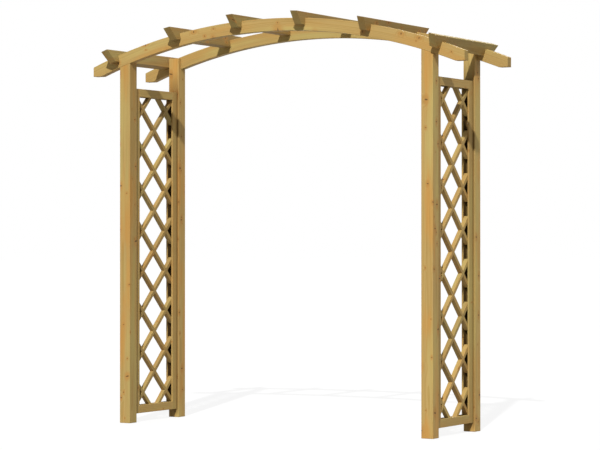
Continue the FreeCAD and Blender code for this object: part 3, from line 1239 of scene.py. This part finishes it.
@dataclass
class PanelFrames:
    """The stiles and rails of both side panels, grooved along their inner faces for the lattice.

    The seam is the strip of a stile that painted shade darkens where it stands against its post.
    """

    finish: bpy.types.Material
    groove: float = 0.0254
    groove_depth: float = 0.036
    tongue: float = 0.025
    arris: float = 0.0018
    seam: float = 0.010
    seam_shade: float = 0.90
    log: Log = Log(0.025, 0.060)

    def build(self) -> list[bpy.types.Object]:
        """Makes the frames.

        Returns:
            The eight pieces.
        """
        made = []
        for side in Side:
            panel = f"{side.name}_panel".lower()
            made += [self.stile(panel, end) for end in End]
            made += [self.rail(panel, edge) for edge in Edge]
        return made

    def channel(self, low: float, high: float, inner: float, outer: float) -> list[Pair]:
        """A grooved section, as places across the walkway and from the groove's mouth outwards.

        Args:
            low: The section's left side.
            high: Its right side.
            inner: The face with the groove.
            outer: The face behind it.

        Returns:
            The corners in order.
        """
        middle = (low + high) / 2
        left, right = middle - self.groove / 2, middle + self.groove / 2
        bottom = inner + math.copysign(self.groove_depth, outer - inner)
        mouth = [(left, inner), (left, bottom), (right, bottom), (right, inner)]
        return [(low, inner), *mouth, (high, inner), (high, outer), (low, outer)]

    def inside(self, low: float, high: float, inner: float, outer: float) -> tuple[Pair, Pair]:
        """The inside of the groove, behind the arrises of its mouth.

        Args:
            low: The section's left side.
            high: Its right side.
            inner: The face with the groove.
            outer: The face behind it.

        Returns:
            Two opposite corners, as places in the section.
        """
        middle = (low + high) / 2
        half = self.groove / 2 + TOUCH
        sink = math.copysign(1.0, outer - inner)
        return (
            (middle - half, inner + sink * self.arris / 2),
            (middle + half, inner + sink * (self.groove_depth + TOUCH)),
        )

    def stile(self, panel: str, end: End) -> bpy.types.Object:
        """Makes a stile.

        Args:
            panel: The panel's name.
            end: The end of the walkway that the stile is at.

        Returns:
            The piece.
        """
        node = f"{panel}_{end.name}_stile".lower()
        low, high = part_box(node)
        inner, outer = (low.y, high.y) if end is End.REAR else (high.y, low.y)
        board = Board(node)
        section = self.channel(low.x, high.x, inner, outer)
        board.draw([Vector((x, y, low.z)) for x, y in section], Z_AXIS * (high.z - low.z))
        board.ease(self.arris)
        # painted shade on the strip of the stile that stands against its post
        board.score(Y_AXIS * (outer - end.value * self.seam), Y_AXIS)
        near = outer - end.value * self.seam / 2
        against_post = (Vector((low.x, near, low.z)), Vector((high.x, outer, high.z)))
        board.hollow(*against_post, self.seam_shade)
        # painted shade inside the stile's groove
        first, second = self.inside(low.x, high.x, inner, outer)
        board.hollow(Vector((*first, low.z)), Vector((*second, high.z)))
        return self.dress(board, Z_AXIS)

    def rail(self, panel: str, edge: Edge) -> bpy.types.Object:
        """Makes a rail with a tongue at each end, which stands in a stile's groove.

        Args:
            panel: The panel's name.
            edge: The edge of the panel that the rail is at.

        Returns:
            The piece.
        """
        node = f"{panel}_{edge.name}_rail".lower()
        low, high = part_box(node)
        inner, outer = (low.z, high.z) if edge is Edge.TOP else (high.z, low.z)
        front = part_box(f"{panel}_front_stile")[1].y
        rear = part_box(f"{panel}_rear_stile")[0].y
        board = Board(node)
        section = self.channel(low.x, high.x, inner, outer)
        board.draw([Vector((x, front, z)) for x, z in section], Y_AXIS * (rear - front))
        board.ease(self.arris)
        # painted shade inside the rail's groove
        (left, near), (right, far) = self.inside(low.x, high.x, inner, outer)
        board.hollow(Vector((left, front, near)), Vector((right, rear, far)))
        middle = (low.x + high.x) / 2
        web = sorted((outer, inner + math.copysign(self.groove_depth, outer - inner)))
        for first, last in ((low.y, front), (rear, high.y)):
            board.block(
                Vector((middle - self.tongue / 2, first, web[0])),
                Vector((middle + self.tongue / 2, last, web[1])),
            )
        return self.dress(board, Y_AXIS)

    def dress(self, board: Board, along: Vector) -> bpy.types.Object:
        """Gives a stile or rail its grain and finish.

        Args:
            board: The stile or rail.
            along: The way its grain runs.

        Returns:
            The piece.
        """
        start, pith, own = self.log.cut(board.node)
        grain = StraightGrain(middle_of(board.node), along, X_AXIS, start, pith)
        return board.dress(grain, own, Slot.FRAME, self.finish)


@dataclass
class Lattice:
    """The diagonal bars of both panels, halved over each other where they cross."""

    finish: bpy.types.Material
    spaces: int = 8
    face: float = 0.020
    clearance: float = 0.0001
    entry: float = 0.012
    angle: float = math.radians(45.0)
    arris: float = 0.0008
    log: Log = Log(0.020, 0.060)

    def build(self) -> list[bpy.types.Object]:
        """Makes the bars.

        Returns:
            The pieces of both panels.
        """
        return [
            self.bar(f"{side.name}_panel".lower(), slope, division)
            for side in Side
            for slope in Slope
            for division in range(self.spaces + 1)
        ]

    def notches(self, slope: Slope, division: int, pitch: float) -> list[float]:
        """Where other bars cross this one.

        Args:
            slope: The bar's family.
            division: The bar's place in its family, counted from the bottom.
            pitch: The height of a lattice space.

        Returns:
            Distances along the bar from the panel's middle line, from far to near.
        """
        step = slope.value * pitch / 2 / math.sin(self.angle)
        places = ((other - division) * step for other in range(self.spaces + 1))
        return sorted(places, reverse=True)

    def profile(self, slope: Slope, division: int, pitch: float, depth: float) -> list[Pair]:
        """The bar's edge view with its notches, as places along the bar and across the walkway.

        Args:
            slope: The bar's family, which says which face is notched.
            division: The bar's place in its family.
            pitch: The height of a lattice space.
            depth: The bar's size across the walkway.

        Returns:
            The corners in order.
        """
        reach = (self.spaces + 1) * pitch
        plain = slope.value * depth / 2
        corners = [(-reach, plain), (reach, plain), (reach, -plain)]
        half = self.face / 2 + self.clearance
        for place in self.notches(slope, division, pitch):
            right, left = place + half, place - half
            corners += [(right, -plain), (right, 0.0), (left, 0.0), (left, -plain)]
        return [*corners, (-reach, -plain)]

    def bar(self, panel: str, slope: Slope, division: int) -> bpy.types.Object:
        """Makes one bar and trims it to stand in the frame's grooves.

        Args:
            panel: The panel's name.
            slope: The bar's family.
            division: The bar's place in its family.

        Returns:
            The piece.
        """
        node = f"{panel}_{slope.name}_bar_{division + 1}".lower()
        front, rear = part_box(f"{panel}_front_stile"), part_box(f"{panel}_rear_stile")
        bottom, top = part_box(f"{panel}_bottom_rail"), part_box(f"{panel}_top_rail")
        low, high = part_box(node)
        pitch = (front[1].z - front[0].z) / self.spaces
        middle = Vector(((low.x + high.x) / 2, 0.0, front[0].z + division * pitch))
        along = Vector((0.0, math.cos(self.angle), slope.value * math.sin(self.angle)))
        across = along.cross(X_AXIS)
        board = Board(node)
        outline = [
            middle + along * run + X_AXIS * x - across * (self.face / 2)
            for run, x in self.profile(slope, division, pitch, high.x - low.x)
        ]
        board.draw(outline, across * self.face)
        board.saw(Y_AXIS * (front[1].y - self.entry), -Y_AXIS)
        board.saw(Y_AXIS * (rear[0].y + self.entry), Y_AXIS)
        board.saw(Z_AXIS * (bottom[1].z - self.entry), -Z_AXIS)
        board.saw(Z_AXIS * (top[0].z + self.entry), Z_AXIS)
        board.ease(self.arris)
        start, pith, own = self.log.cut(node)
        grain = StraightGrain(middle, along, X_AXIS, start, pith)
        return board.dress(grain, own, Slot.LATTICE, self.finish)


@dataclass(frozen=True)
class Fixing:
    """The turned form of one kind of screw or brad, with a countersunk head a little proud.

    Head, shank and recess are radii.
    """

    head: float
    shank: float
    point: float
    sides: int
    proud: float = 0.0003
    blunt: float = 0.25
    recess: float = 0.0
    recess_depth: float = 0.0
    lobes: int = 6
    lobe_share: float = 0.20
    recess_taper: float = 0.85

    def mesh(self, length: float) -> bpy.types.Mesh:
        """Turns the fixing from its point to its head, whose face is at the origin.

        Args:
            length: Its length, along Z.

        Returns:
            The mesh of one fixing.
        """
        stations = (
            (self.shank * self.blunt, length),
            (self.shank, length - self.point),
            (self.shank, self.head - self.shank),
            (self.head, 0.0),
            (self.head - self.proud, -self.proud),
        )
        mesh = bmesh.new()
        bmesh.ops.create_circle(
            mesh, cap_ends=True, segments=self.sides, radius=stations[0][0]
        )
        bmesh.ops.translate(mesh, vec=Z_AXIS * length, verts=mesh.verts)
        mesh.faces.ensure_lookup_table()
        end = mesh.faces[0]
        for (radius, depth), (wider, higher) in zip(stations, stations[1:]):
            end = self.draw_out(mesh, end, higher - depth, wider / radius)
        if self.recess:
            self.sink_recess(mesh, end)
        bmesh.ops.recalc_face_normals(mesh, faces=mesh.faces)
        data = bpy.data.meshes.new("fixing")
        mesh.to_mesh(data)
        mesh.free()
        return data

    @staticmethod
    def draw_out(
        mesh: bmesh.types.BMesh, end: bmesh.types.BMFace, run: float, share: float
    ) -> bmesh.types.BMFace:
        """Draws the end of the turning out along Z.

        Args:
            mesh: The fixing.
            end: Its end face.
            run: How far the face goes.
            share: The face's new size as a share of its old one.

        Returns:
            The end face at its new place.
        """
        made = bmesh.ops.extrude_face_region(mesh, geom=[end])["geom"]
        points = [item for item in made if isinstance(item, bmesh.types.BMVert)]
        bmesh.ops.scale(mesh, vec=(share, share, 1.0), verts=points)
        bmesh.ops.translate(mesh, vec=Z_AXIS * run, verts=points)
        return next(item for item in made if isinstance(item, bmesh.types.BMFace))

    def sink_recess(self, mesh: bmesh.types.BMesh, end: bmesh.types.BMFace) -> None:
        """Sinks a lobed driver recess into the head.

        Args:
            mesh: The fixing.
            end: The face of its head.
        """
        rim = self.head - self.proud
        bmesh.ops.inset_region(
            mesh, faces=[end], thickness=rim - self.recess, use_even_offset=True
        )
        for vert in end.verts:
            turn = math.atan2(vert.co.y, vert.co.x)
            share = 1.0 + self.lobe_share * math.cos(self.lobes * turn)
            vert.co.x *= share
            vert.co.y *= share
        self.draw_out(mesh, end, self.recess_depth, self.recess_taper)


@dataclass(frozen=True)
class Seat:
    """Where a fixing is driven: the middle of its head's face, its way in and its length."""

    place: Vector
    drive: Vector
    length: float

    @property
    def matrix(self) -> Matrix:
        """The move that takes a fixing along Z to this seat."""
        turn = Z_AXIS.rotation_difference(self.drive).to_matrix().to_4x4()
        return Matrix.Translation(self.place) @ turn


@dataclass
class Fixings:
    """The screws and brads, driven where the frame has them."""

    finish: bpy.types.Material
    screw: Fixing = Fixing(
        head=0.006, shank=0.003, point=0.007, sides=24, recess=0.0026, recess_depth=0.0022
    )
    brad: Fixing = Fixing(head=0.0016, shank=0.0008, point=0.002, sides=12, proud=0.0002)
    rim_tolerance: float = 2e-5

    def build(self) -> list[bpy.types.Object]:
        """Makes the fixings.

        Returns:
            One piece for each group.
        """
        kinds = {
            "beam_screws": self.screw,
            "rafter_screws": self.screw,
            "panel_screws": self.screw,
            "lattice_brads": self.brad,
        }
        return [self.group(name, fixing) for name, fixing in kinds.items()]

    def group(self, name: str, fixing: Fixing) -> bpy.types.Object:
        """Drives one group of fixings.

        Args:
            name: The node of the frame that the group stands for.
            fixing: The fixings' form.

        Returns:
            The piece.
        """
        mesh = bmesh.new()
        for seat in self.seats(name):
            turned = fixing.mesh(seat.length)
            turned.transform(seat.matrix)
            mesh.from_mesh(turned)
            bpy.data.meshes.remove(turned)
        return place_piece(f"steel_{name}", mesh, Slot.FIXING, self.finish, name)

    def seats(self, name: str) -> Iterator[Seat]:
        """Finds the fixings of a group in the frame.

        Args:
            name: The group's node.

        Yields:
            The seat of each fixing, whose wider end is its head.
        """
        mesh = bmesh.new()
        mesh.from_mesh(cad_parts[name].data)
        bmesh.ops.remove_doubles(mesh, verts=mesh.verts, dist=WELD)
        found: set[bmesh.types.BMVert] = set()
        for vert in mesh.verts:
            if vert in found:
                continue
            solid = self.connected(vert)
            found.update(solid)
            points = [item.co.copy() for item in solid]
            first = self.rim(points, sum(points, Vector()) / len(points))
            second = self.rim(points, first[0])
            tip, head = sorted((first, second), key=lambda rim: rim[1])
            drive = tip[0] - head[0]
            yield Seat(head[0], drive.normalized(), drive.length)
        mesh.free()

    @staticmethod
    def connected(start: bmesh.types.BMVert) -> list[bmesh.types.BMVert]:
        """Finds a solid by one of its vertices.

        Args:
            start: The vertex.

        Returns:
            Every vertex of the solid that it belongs to.
        """
        solid = [start]
        known = {start}
        for vert in solid:
            near = [edge.other_vert(vert) for edge in vert.link_edges]
            fresh = [other for other in near if other not in known]
            solid += fresh
            known.update(fresh)
        return solid

    def rim(self, points: Sequence[Vector], origin: Vector) -> tuple[Vector, float]:
        """Finds the ring of points that lie furthest from an origin.

        Args:
            points: The points of one fixing.
            origin: A point of its axis.

        Returns:
            The ring's middle and its radius.
        """
        furthest = max((point - origin).length for point in points)
        ring = [
            point for point in points if furthest - (point - origin).length < self.rim_tolerance
        ]
        middle = sum(ring, Vector()) / len(ring)
        return middle, (ring[0] - middle).length


@dataclass(frozen=True)
class Lamp:
    """A far lamp: the way its light travels, its strength and how wide it looks."""

    name: str
    travel: Triple
    strength: float
    angle: float

    def hang(self) -> None:
        """Puts the lamp into the scene."""
        light = bpy.data.lights.new(self.name, "SUN")
        light.energy = self.strength
        light.angle = self.angle
        item = bpy.data.objects.new(self.name, light)
        item.rotation_euler = Vector(self.travel).to_track_quat("-Z", "Y").to_euler()
        bpy.context.scene.collection.objects.link(item)


@dataclass
class Studio:
    """The floor, the light and the camera.

    The floor throws back light by its albedo. The camera sees it glow, with a faint shadow.
    """

    floor_radius: float = 90.0
    floor_sides: int = 64
    floor_albedo: float = 0.28
    floor_shadow: float = 0.16
    floor_glow: float = 0.85
    sky_strength: float = 0.26
    lamps: tuple[Lamp, ...] = (
        Lamp("key_light", (-0.36, 1.0, -0.90), 3.20, math.radians(1.2)),
        Lamp("side_fill", (-1.0, -0.1, -0.2), 0.20, math.radians(40.0)),
        Lamp("back_fill", (0.5, -0.8, -0.3), 1.70, math.radians(50.0)),
    )
    camera_place: Triple = (6.39648, -10.77429, 1.07229)
    camera_turn: Triple = (math.pi / 2 + 0.0053, 0.0, 0.5341)
    camera_lens: float = 133.17
    camera_sensor: float = 36.0

    def build(self) -> None:
        """Sets up the studio."""
        self.floor()
        for lamp in self.lamps:
            lamp.hang()
        self.world()
        self.camera()
        bpy.context.scene.view_settings.view_transform = "Standard"

    @staticmethod
    def seen_or_lit(graph: NodeGraph, lit: Socket, seen: Socket) -> Socket:
        """Chooses between what lights the arch and what shows behind it.

        Args:
            graph: The nodes of the floor or of the world.
            lit: The shader that lights the arch.
            seen: The shader that the camera sees, directly or by a mirror or glass.

        Returns:
            The shader that does both.
        """
        path = graph.node("LightPath")
        to_camera = graph.math(
            "MAXIMUM", path.outputs["Is Camera Ray"], path.outputs["Is Glossy Ray"]
        )
        to_camera = graph.math("MAXIMUM", to_camera, path.outputs["Is Transmission Ray"])
        choice = graph.node("MixShader")
        for target, source in zip(choice.inputs, (to_camera, lit, seen)):
            graph.feed(target, source)
        return choice.outputs[0]

    def floor(self) -> None:
        """Lays a pale floor that looks white and keeps a faint shadow."""
        mesh = bmesh.new()
        bmesh.ops.create_circle(
            mesh, cap_ends=True, segments=self.floor_sides, radius=self.floor_radius
        )
        data = bpy.data.meshes.new("floor")
        mesh.to_mesh(data)
        mesh.free()
        material, graph = new_material("pale_floor")
        dull = graph.node("BsdfDiffuse")
        dull.inputs["Color"].default_value = grey(self.floor_albedo)
        faint = graph.node("BsdfDiffuse")
        faint.inputs["Color"].default_value = grey(self.floor_shadow)
        glow = graph.node("Emission")
        glow.inputs["Strength"].default_value = self.floor_glow
        shown = graph.node("AddShader")
        graph.feed(shown.inputs[0], faint.outputs[0])
        graph.feed(shown.inputs[1], glow.outputs[0])
        graph.surface(self.seen_or_lit(graph, dull.outputs[0], shown.outputs[0]))
        data.materials.append(material)
        floor = bpy.data.objects.new("floor", data)
        bpy.context.scene.collection.objects.link(floor)
        floor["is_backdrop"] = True

    def world(self) -> None:
        """Fills the shade with even light and shows white behind the arch."""
        world = bpy.data.worlds.new("studio")
        world.use_nodes = True
        graph = NodeGraph(world.node_tree)
        light = graph.node("Background")
        light.inputs["Strength"].default_value = self.sky_strength
        white = graph.node("Background")
        for background in (light, white):
            background.inputs["Color"].default_value = grey(1.0)
        shader = self.seen_or_lit(graph, light.outputs[0], white.outputs[0])
        graph.surface(shader, "OutputWorld")
        bpy.context.scene.world = world

    def camera(self) -> None:
        """Sets up the camera at the picture's place and angle."""
        data = bpy.data.cameras.new("camera")
        data.sensor_width = self.camera_sensor
        data.lens = self.camera_lens
        item = bpy.data.objects.new("camera", data)
        item.location = self.camera_place
        item.rotation_euler = self.camera_turn
        bpy.context.scene.collection.objects.link(item)
        bpy.context.scene.camera = item


def write_sizes() -> None:
    """Works out the frame's box and the finished model's box."""
    boxes = {"cad": CAD_BOX, "visual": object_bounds()}
    {name: [list(corner) for corner in box] for name, box in boxes.items()}


def main() -> None:
    """Builds the arch and its studio."""
    logging.basicConfig(level=logging.INFO, format="%(name)s %(message)s")
    post = TimberFinish("post_softwood")
    beam = TimberFinish("beam_softwood", tone=0.95, resin_share=0.45)
    rafter = TimberFinish("rafter_softwood", tone=0.73, resin_share=0.45, end_shade=1.08)
    rail = TimberFinish("panel_softwood", tone=0.95, resin_share=0.45, knot_radius=0.0052)
    lath = TimberFinish(
        "lattice_softwood", tone=0.85, resin_share=0.45, knot_radius=0.0036, board_range=0.24
    )
    bow = Bow()
    made = [
        *Posts(bow, post.material()).build(),
        *Beams(bow, beam.material()).build(),
        *Rafters(bow, rafter.material()).build(),
        *PanelFrames(rail.material()).build(),
        *Lattice(lath.material()).build(),
        *Fixings(SteelFinish().material()).build(),
    ]
    Studio().build()
    LOG.info("%d pieces", len(made))
    write_sizes()


if __name__ == "__main__":
    main()
